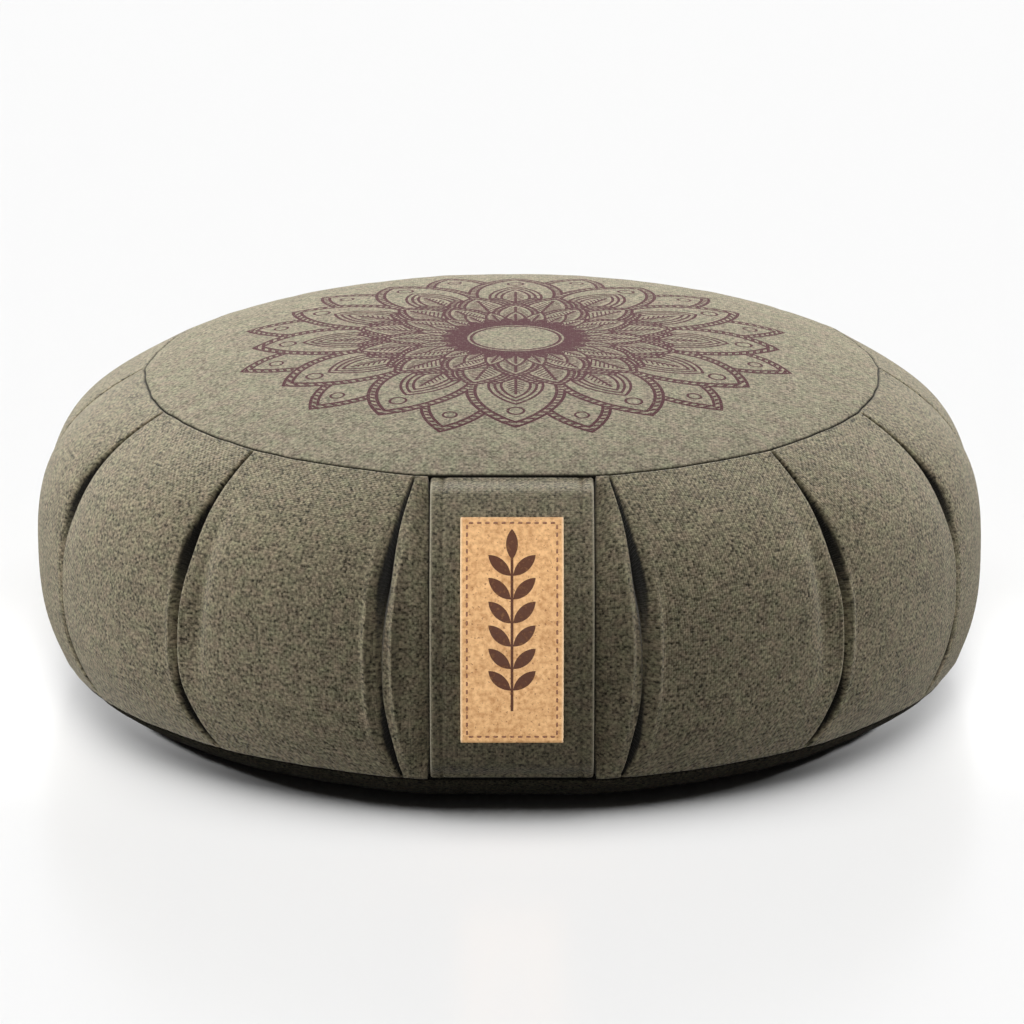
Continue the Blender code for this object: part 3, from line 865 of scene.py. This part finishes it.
def make_petal_ring():
    """A ring of equal petals round the origin, folded onto one of them. Ink is 1 on the outline, on
    the echo lines that follow it inwards one pitch apart, on beads between the first two of these,
    on slanting veins inside them, and all over a filled petal. Inside is 1 within the outline."""
    labels = (
        "Count", "Turn", "Base", "Tip", "Half Width", "Line", "Pitch", "Echoes", "Beads", "Veins",
        "Fill",
    )
    tree, given, result = new_group(
        "petal_ring",
        {"Place": "Vector", **dict.fromkeys(labels, "Float")},
        {"Ink": "Float", "Inside": "Float"},
    )
    place, count, turn, base, tip, half_width, line, pitch, echoes, *options = given.values()
    x, y = across_and_down(place)
    radius = maths("SQRT", x * x + y * y)
    sector = 2 * math.pi / count
    turns = maths("ARCTAN2", x, y * -1.0) / sector + turn
    folded = (maths("FRACT", turns + (WHOLE_TURNS + 0.5)) - 0.5) * sector
    across = radius * maths("SINE", folded)
    along = radius * maths("COSINE", folded)
    distance = petal_distance(across, along, base, tip, half_width)
    inside = distance < 0.0
    depth = distance * -1.0 / pitch
    nearest_echo = greatest(maths("MINIMUM", maths("ROUND", depth), echoes), 0.0)
    half_line = line * 0.5
    outlines = abs(depth - nearest_echo) * pitch < half_line
    in_band = maths("COMPARE", depth, 0.5, BEAD_HALF_HEIGHT)
    beads = in_band * (maths("FRACT", along / (pitch * BEAD_PITCH)) < 0.5)
    stripe = maths("FRACT", (abs(across) * -VEIN_SLOPE + along) / pitch)
    veins = greatest(stripe < VEIN_SHARE, abs(across) < half_line) * (depth > echoes + VEIN_START)
    marks = [mark * option for mark, option in zip((beads, veins, inside), options)]
    feed(result, {"Ink": greatest(outlines, *marks), "Inside": inside})
    return tree


PETAL = make_petal()
PETAL_RING = make_petal_ring()
ROSETTE_RINGS = (
    # count, turn, base, tip, half width, line, pitch, echo lines, beads, veins, fill: lengths in mm
    (12, 0.5, 50.0, 106.0, 13.5, 1.2, 2.8, 1, 1, 0, 0),
    (12, 0.5, 90.0, 95.0, 2.5, 0.9, 2.0, 0, 0, 0, 0),
    (12, 0.0, 34.0, 99.0, 18.0, 1.3, 3.0, 1, 1, 0, 0),
    (12, 0.0, 83.0, 89.0, 3.0, 1.0, 2.0, 0, 0, 0, 0),
    (12, 0.0, 42.0, 80.0, 10.0, 1.1, 2.3, 2, 0, 1, 0),
    (24, 0.5, 34.0, 60.0, 6.9, 1.2, 2.2, 1, 1, 0, 0),
    (24, 0.5, 46.0, 54.0, 2.3, 1.0, 2.0, 0, 0, 0, 1),
    (12, 0.5, 20.0, 63.0, 10.5, 1.2, 2.2, 1, 1, 1, 0),
    (12, 0.0, 18.0, 51.0, 8.6, 1.2, 2.0, 1, 1, 1, 0),
    (24, 0.0, 16.0, 38.0, 3.8, 1.1, 1.6, 0, 0, 1, 0),
    (24, 0.5, 16.0, 29.0, 2.5, 0.9, 2.0, 0, 0, 0, 1),
)
ROSETTE_CENTRE = (0.0014, -0.0070, 0.0)
MEDALLION_LINES = (0.0168, 0.0188)
MEDALLION_LINE = 0.0012
INK = (0.066, 0.010, 0.019, 1.0)
INK_COVER = 0.98
INK_WEAR_SCALE = 900.0
WORN_INK_COVER = 0.60


def rosette_ink(place):
    """1 where the rosette is printed: the rings are laid over one another from the outermost one
    inwards, each hiding what lies within its petals, and a bare medallion lies on them all."""
    printed = 0.0
    for count, turn, *rest in ROSETTE_RINGS:
        lengths = [length / 1000 for length in rest[:5]]
        measures = dict(enumerate((place, count, turn, *lengths, *rest[5:])))
        ring = add_node(place.tree, "Group", measures, node_tree=PETAL_RING)
        printed = greatest((1.0 - Wire(ring, "Inside")) * printed, Wire(ring, "Ink"))
    flat = vector_maths("MULTIPLY", place, (1.0, 1.0, 0.0))
    radius = vector_maths("LENGTH", flat, output="Value")
    printed = printed * (radius > MEDALLION_LINES[1])
    for line_radius in MEDALLION_LINES:
        printed = greatest(printed, abs(radius - line_radius) < MEDALLION_LINE / 2)
    return printed


top_shader, cloth_place, cloth_colour = dress_in_linen(
    top_cloth, "top_linen", "Object", TOP_LIT_LINEN_DARK, TOP_LIT_LINEN_LIGHT
)
print_place = vector_maths("SUBTRACT", cloth_place, ROSETTE_CENTRE)
worn = noise(print_place, INK_WEAR_SCALE, 2.0, 0.6)
cover = ramp(worn, 0.28, 0.44, WORN_INK_COVER, 1.0) * INK_COVER
feed(top_shader, {
    "Base Color": blend_colours(rosette_ink(print_place) * cover, cloth_colour, INK),
    "Sheen Weight": TOP_LINEN_SHEEN,
    "Specular IOR Level": TOP_LINEN_SPECULAR,
})
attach(top_cloth, "root")
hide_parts("top_panel")

# ---- The carrying strap ----
# A double strip of the linen, turned in along both edges and topstitched 4 mm inside them. Its ends
# are caught in the two seams, and it lies flat down the front.
STRAP_WIDTH = 0.058
STRAP_THICKNESS = 0.0024
STRAP_END_THICKNESS = 0.0014
STRAP_EDGE_RADIUS = 0.0011
TOPSTITCH_INSET = 0.0042
TOPSTITCH_SINK = 0.00065
TOPSTITCH_SPREAD = 0.0009
STRAP_ROWS = 110
STRIP_EDGE_STEPS = 6
STRIP_STITCH_STEPS = 9
STRIP_STITCH_REACH = 0.0015
STRIP_MIDDLE_STEPS = 8
STRIP_MIDDLE_MARGIN = 0.002
STRIP_BACK_STEP = 4
# Painted shade: the strap's linen is a darker copy of the side's, standing for the shade on its
# face.
STRAP_SHADED_LINEN_LIGHT = (0.345, 0.300, 0.194, 1.0)
# Painted highlight: the strap's colour is lightened over the last millimetre before both edges,
# standing for the light caught there.
STRAP_EDGE_HIGHLIGHT = (0.40, 0.36, 0.26, 1.0)
STRAP_HIGHLIGHT_WIDTH = 0.0010
STRAP_HIGHLIGHT_SHARE = 0.9


def across_a_strip(width, edge_radius, inset):
    """Places across a strip from its left edge to its right one, close together at both edges and
    at a stitch line's inset, as a sorted array."""
    half = width / 2
    near_edge = half - edge_radius * (1 - np.cos(np.linspace(0.0, np.pi / 2, STRIP_EDGE_STEPS)))
    near_stitches = np.linspace(-1.0, 1.0, STRIP_STITCH_STEPS) * STRIP_STITCH_REACH
    middle = np.linspace(0.0, half - inset - STRIP_MIDDLE_MARGIN, STRIP_MIDDLE_STEPS)
    right = np.unique(np.concatenate((middle, half - inset + near_stitches, near_edge)))
    return np.concatenate((-right[:0:-1], right))


def strip_on_front(name, x, station, back_lift, front_lift, edge_radius):
    """A strip of cloth on the flat front with rounded edges, lofted through rings of its front
    face from left to right and then its back, with places on its own cloth as its UV map."""
    front_lift = front_lift - rolled_down(x[-1] - np.abs(x), edge_radius)
    front = on_flat_front(x[None, :], station, front_lift)
    back_x = x[::-STRIP_BACK_STEP]
    back = on_flat_front(back_x[None, :], station, back_lift)
    rings = np.concatenate((front, back), axis=1)
    edges = np.append(x, back_x)
    sides = [points_of(u[None, :], station) for u in (edges, np.roll(edges, -1))]
    return lofted_piece(name, rings, rings[0].mean(axis=0), rings[-1].mean(axis=0), *sides)


def towards_edges(place, width, reach, most):
    """A share that grows from 0 to its most over the last stretch before both edges of a strip."""
    from_middle = abs(across_and_down(place)[0])
    return ramp(from_middle, width / 2 - reach, width / 2, 0.0, most)


strap_x = across_a_strip(STRAP_WIDTH, STRAP_EDGE_RADIUS, TOPSTITCH_INSET)
strap_station = SEAM_GAP + (SIDE_LENGTH - 2 * SEAM_GAP) * rows_down(STRAP_ROWS)
strap_back = GAP - strap_lift(strap_station, SEAM_BED_DEPTH, 0.0)
strap_face = strap_back + strap_lift(strap_station, STRAP_END_THICKNESS, STRAP_THICKNESS)
topstitch = hill(np.abs(strap_x), STRAP_WIDTH / 2 - TOPSTITCH_INSET, TOPSTITCH_SPREAD)
strap_face = strap_face - TOPSTITCH_SINK * topstitch
strap = strip_on_front("strap", strap_x, strap_station, strap_back, strap_face, STRAP_EDGE_RADIUS)
strap_shader, strap_place, strap_colour = dress_in_linen(
    strap, "strap_linen", "UV", light=STRAP_SHADED_LINEN_LIGHT
)
# Painted highlight along both edges of the strap.
edge_highlight = towards_edges(strap_place, STRAP_WIDTH, STRAP_HIGHLIGHT_WIDTH, STRAP_HIGHLIGHT_SHARE)
feed(strap_shader, {"Base Color": blend_colours(edge_highlight, strap_colour, STRAP_EDGE_HIGHLIGHT)})
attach(strap, "root")
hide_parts("handle_strap")

# ---- The cork label ----
# A rectangle of cork cloth, sewn to the strap with one row of dark brown stitches near its edge. A
# plain leaf sprig is printed on it in dark brown.
LABEL_WIDTH = 0.0364
LABEL_THICKNESS = 0.0013
LABEL_STATIONS = (0.0222, 0.1018)
LABEL_EDGE_RADIUS = 0.0004
LABEL_STITCH_INSET = 0.0023
LABEL_ROWS = 60
CORK_LIGHT = (0.775, 0.468, 0.220, 1.0)
CORK_DARK = (0.42, 0.205, 0.078, 1.0)
CORK_RIM = (0.90, 0.68, 0.44, 1.0)
CORK_RIM_WIDTH = 0.0009
CORK_RIM_SHARE = 0.8
CORK_FLECK = (0.20, 0.085, 0.035, 1.0)
CORK_FLECK_SHARE = 0.7
CORK_GRAIN_SCALE = 520.0
CORK_GRAIN_DEPTH = 0.00015
CORK_GRAIN_TONE = 0.75
CORK_PATCH_SCALE = 120.0
CORK_PATCH_TONE = 0.35
CORK_FLECK_SCALE = 900.0
CORK_ROUGHNESS = (0.78, 0.62)
CORK_SPECULAR = 0.25
SPRIG_INK = (0.062, 0.017, 0.008, 1.0)
SPRIG_INK_COVER = (0.80, 0.97)
SPRIG_STATIONS = (0.036, 0.090)
SPRIG_STEM = 0.0010
LEAF_PITCH = 0.0078
LEAF_LENGTH = 0.0112
LEAF_HALF_WIDTH = 0.0021
LEAF_LEAN = math.radians(48)
LEAF_FOOT = 0.0006
TIP_LEAF_FOOT = -0.002
LAST_LEAF_MARGIN = 0.0001

label_x = across_a_strip(LABEL_WIDTH, LABEL_EDGE_RADIUS, LABEL_STITCH_INSET)
label_station = np.linspace(*LABEL_STATIONS, LABEL_ROWS + 1)[:, None]
label_back = STRAP_THICKNESS + 2 * GAP
label_face = label_back + LABEL_THICKNESS
label = strip_on_front("label", label_x, label_station, label_back, label_face, LABEL_EDGE_RADIUS)


def sprig_ink(place):
    """1 where the sprig is printed: a straight stem along the label's middle line, with pairs of
    leaves that lean towards its upper end, and one leaf at its tip."""
    x, down = across_and_down(place)
    side = abs(x)
    low, high = SPRIG_STATIONS
    ink = (side < SPRIG_STEM / 2) * maths("COMPARE", down, (low + high) / 2, (high - low) / 2)
    last_pair = int((high - low) / LEAF_PITCH) - 1.0
    pair = greatest(maths("FLOOR", (down - low) / LEAF_PITCH), 0.0)
    pair = maths("MINIMUM", pair, last_pair)
    for following in (1.0, 2.0):
        foot = (pair + following) * LEAF_PITCH + low
        rise = foot - down
        along = side * math.sin(LEAF_LEAN) + rise * math.cos(LEAF_LEAN)
        across = side * math.cos(LEAF_LEAN) - rise * math.sin(LEAF_LEAN)
        leaf = petal_distance(across, along, LEAF_FOOT, LEAF_LENGTH, LEAF_HALF_WIDTH)
        ink = greatest(ink, (leaf < 0.0) * (foot < high + LAST_LEAF_MARGIN))
    tip_length = LEAF_LENGTH + TIP_LEAF_FOOT
    tip = petal_distance(side, low - down, TIP_LEAF_FOOT, tip_length, LEAF_HALF_WIDTH)
    return greatest(ink, tip < 0.0)


cork_shader, cork_place = new_finish(label, "cork", "UV")
grain = noise(cork_place, CORK_GRAIN_SCALE, 3.0, 0.65)
patches = ramp(noise(cork_place, CORK_PATCH_SCALE), 0.3, 0.7, 0.0, CORK_PATCH_TONE)
flecks = ramp(noise(cork_place, CORK_FLECK_SCALE, 1.0), 0.66, 0.72, 0.0, CORK_FLECK_SHARE)
cork_tone = ramp(grain, 0.32, 0.62) * CORK_GRAIN_TONE + patches
cork_colour = blend_colours(cork_tone, CORK_DARK, CORK_LIGHT)
cork_colour = blend_colours(flecks, cork_colour, CORK_FLECK)
rim = towards_edges(cork_place, LABEL_WIDTH, CORK_RIM_WIDTH, CORK_RIM_SHARE)
cork_colour = blend_colours(rim, cork_colour, CORK_RIM)
sprig = sprig_ink(cork_place) * ramp(grain, 0.30, 0.45, *SPRIG_INK_COVER)
cork_bump = {"Height": grain, "Distance": CORK_GRAIN_DEPTH}
feed(cork_shader, {
    "Base Color": blend_colours(sprig, cork_colour, SPRIG_INK),
    "Roughness": ramp(grain, 0.3, 0.7, *CORK_ROUGHNESS),
    "Normal": Wire(add_node(cork_place.tree, "Bump", cork_bump)),
    "Specular IOR Level": CORK_SPECULAR,
})
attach(label, "root")
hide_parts("cork_label")

STITCH_PITCH = 0.0030
STITCH_LENGTH = 0.0019
STITCH_RADIUS = 0.00036
STITCH_RISE = 0.00008
STITCH_RINGS = 7
STITCH_SIDES = 8
STITCH_TONE_SCALE = 2400.0
STITCH_ROUGHNESS = 0.7
STITCH_COLOURS = ((0.15, 0.062, 0.030, 1.0), (0.26, 0.12, 0.06, 1.0))


def stitch_rings():
    """Rings and both poles of a stitch along X: a thread that is round across and pointed at both
    ends, where it goes down into its needle holes."""
    along = np.linspace(-1.0, 1.0, STITCH_RINGS + 2)[1:-1, None]
    turn = np.linspace(0.0, 2 * math.pi, STITCH_SIDES, endpoint=False)
    round_half = STITCH_RADIUS * (1 - along**4) ** 0.5
    sunk = STITCH_RADIUS * along**4
    half = STITCH_LENGTH / 2
    rings = points_of(along * half, round_half * np.cos(turn), round_half * np.sin(turn) - sunk)
    return rings, [(-half, 0.0, -STITCH_RADIUS), (half, 0.0, -STITCH_RADIUS)]


def stitched_frame(name, corners, lift):
    """One mesh of all the stitches round a frame on the flat front, each laid on its surface. The
    corners are places across and down the strap, with whole stitches between them."""
    rings, poles = stitch_rings()
    faces = loft_faces(STITCH_RINGS, STITCH_SIDES)
    x, y, z = np.concatenate((rings.reshape(-1, 3), poles)).T
    points, polygons = [], []
    for start, way in zip(corners, np.roll(corners, -1, axis=0) - corners):
        length = np.linalg.norm(way)
        count = round(length / STITCH_PITCH)
        for part in (np.arange(count) + 0.5) / count:
            (middle, station), (right, ahead) = start + way * part, way / length
            polygons += [[index + len(points) for index in face] for face in faces]
            across = middle + x * right - y * ahead
            down = station + x * ahead + y * right
            points += on_flat_front(across, down, lift + z).tolist()
    return piece_of(name, points, polygons)


left, right = -LABEL_WIDTH / 2 + LABEL_STITCH_INSET, LABEL_WIDTH / 2 - LABEL_STITCH_INSET
upper, lower = LABEL_STATIONS[0] + LABEL_STITCH_INSET, LABEL_STATIONS[1] - LABEL_STITCH_INSET
label_stitches = stitched_frame(
    "label_stitches",
    np.array(((left, upper), (right, upper), (right, lower), (left, lower))),
    label_face + STITCH_RISE,
)
thread_shader, thread_place = new_finish(label_stitches, "brown_thread", "Object")
thread_tone = ramp(noise(thread_place, STITCH_TONE_SCALE, 1.0), 0.3, 0.7)
feed(thread_shader, {
    "Base Color": blend_colours(thread_tone, *STITCH_COLOURS),
    "Roughness": STITCH_ROUGHNESS,
})
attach(label_stitches, "root")

# ---- The studio ----
# A white floor in a white room that gives little light. Two broad lamps and two low spots light the
# floor alone. The cushion has a soft light above it, softboxes behind, at both sides and low in
# front, and one more for the label. The room alone lights the underside.
FLOOR_SIZE = 12.0
FLOOR_COLOUR = (0.93, 0.93, 0.93, 1.0)
FLOOR_ROUGHNESS = 0.22
FLOOR_SPECULAR = 0.20
FLOOR_BOUNCE_COLOUR = (0.04, 0.04, 0.04, 1.0)
ROOM_COLOUR = (1.0, 1.0, 1.0, 1.0)
ROOM_GLOW = 0.02
ROOM_SEEN = 0.98
SUNS = (
    # name, strength, angle, tilt, what it lights: angles in degrees
    ("left_floor_lamp", 1.63, 54.0, (7.0, -12.0), "floor"),
    ("right_floor_lamp", 1.63, 54.0, (7.0, 12.0), "floor"),
    ("top_lamp", 1.56, 42.0, (-6.0, 0.0), "cushion"),
)
FLOOR_SPOT_RADIUS = 0.08
FLOOR_SPOT_BLEND = 1.0
FLOOR_SPOTS = (
    # name, place, what it aims at on the floor, beam angle in degrees, watts
    ("left_floor_spot", (-1.0, -0.04, 0.55), (-0.155, -0.025), 9.5, 70.0),
    ("right_floor_spot", (1.0, -0.04, 0.55), (0.155, -0.020), 9.0, 76.0),
)
SOFTBOXES = (
    # name, place, width, height, watts, what it lights
    ("behind", (0.0, 1.6, 1.2), 1.8, 0.9, 39.0, "cushion"),
    ("left", (-1.68, -0.06, 0.5), 1.0, 0.9, 19.0, "cushion"),
    ("right", (1.68, -0.06, 0.5), 1.0, 0.9, 14.5, "cushion"),
    ("left_edge", (-1.5, 1.1, 0.35), 0.6, 0.7, 9.5, "cushion"),
    ("right_edge", (1.5, 1.1, 0.35), 0.6, 0.7, 8.0, "cushion"),
    ("left_front", (-1.4, -1.0, 0.2), 0.9, 0.4, 3.3, "cushion"),
    ("front", (0.0, -1.9, 0.12), 1.6, 0.2, 5.4, "cushion"),
    ("label_lamp", (0.0, -1.5, 0.10), 0.5, 0.1, 13.0, "label"),
)

floor = add_object("floor", bpy.data.meshes.new("floor"))
floor_corners = FLOOR_SIZE / 2 * np.array(((-1, -1, 0), (1, -1, 0), (1, 1, 0), (-1, 1, 0)))
floor.data.from_pydata(floor_corners.tolist(), [], [(0, 1, 2, 3)])
floor_shader, floor_place = new_finish(floor, "white_floor", "Object")
feed(floor_shader, {
    "Base Color": FLOOR_COLOUR,
    "Roughness": FLOOR_ROUGHNESS,
    "Specular IOR Level": FLOOR_SPECULAR,
})
floor_tree = floor_place.tree
dim = add_node(floor_tree, "BsdfDiffuse", {"Color": FLOOR_BOUNCE_COLOUR})
seen_directly = Wire(add_node(floor_tree, "LightPath"), "Is Camera Ray")
mixed = add_node(floor_tree, "MixShader", {0: seen_directly, 1: Wire(dim), 2: Wire(floor_shader)})
feed(floor_tree.nodes["Material Output"], {"Surface": Wire(mixed)})

world = bpy.data.worlds.new("white_room")
bpy.context.scene.world = world
world.use_nodes = True
path = add_node(world.node_tree, "LightPath")
seen = greatest(Wire(path, "Is Glossy Ray"), Wire(path, "Is Camera Ray"))
glow = ramp(seen, 0.0, 1.0, ROOM_GLOW, ROOM_SEEN)
feed(world.node_tree.nodes["Background"], {"Color": ROOM_COLOUR, "Strength": glow})

lit_pieces = {
    "floor": (floor,),
    "cushion": (pleated_side, top_cloth, strap, label, label_stitches),
    "label": (label, label_stitches),
}
lit_by = {name: bpy.data.collections.new(name) for name in lit_pieces}
for name, pieces in lit_pieces.items():
    for piece in pieces:
        lit_by[name].objects.link(piece)


def add_lamp(name, kind, place, rotation, lights):
    """A lamp of one kind at a place, turned to a rotation, that lights one collection alone."""
    lamp = add_object(name, bpy.data.lights.new(name, kind))
    lamp.location = place
    lamp.rotation_euler = rotation
    lamp.light_linking.receiver_collection = lit_by[lights]
    return lamp.data


def turned_to(place, aim):
    """The rotation of a lamp at a place that shines at an aim."""
    x, y, z = np.subtract(place, aim)
    return math.atan2(math.hypot(x, y), z), 0.0, math.atan2(x, -y)


for name, strength, angle, tilt, lights in SUNS:
    sun = add_lamp(name, "SUN", (0.0, 0.0, 2.0), [math.radians(t) for t in (*tilt, 0.0)], lights)
    sun.energy = strength
    sun.angle = math.radians(angle)

for name, place, aim, beam, watts in FLOOR_SPOTS:
    spot = add_lamp(name, "SPOT", place, turned_to(place, (*aim, 0.0)), "floor")
    spot.spot_size = math.radians(beam)
    spot.spot_blend = FLOOR_SPOT_BLEND
    spot.shadow_soft_size = FLOOR_SPOT_RADIUS
    spot.energy = watts

for name, place, width, height, watts, lights in SOFTBOXES:
    rotation = turned_to(place, (0.0, 0.0, WIDEST_HEIGHT))
    softbox = add_lamp(name, "AREA", place, rotation, lights)
    softbox.shape = "RECTANGLE"
    softbox.size, softbox.size_y = width, height
    softbox.energy = watts

bpy.context.scene.view_settings.view_transform = "Standard"
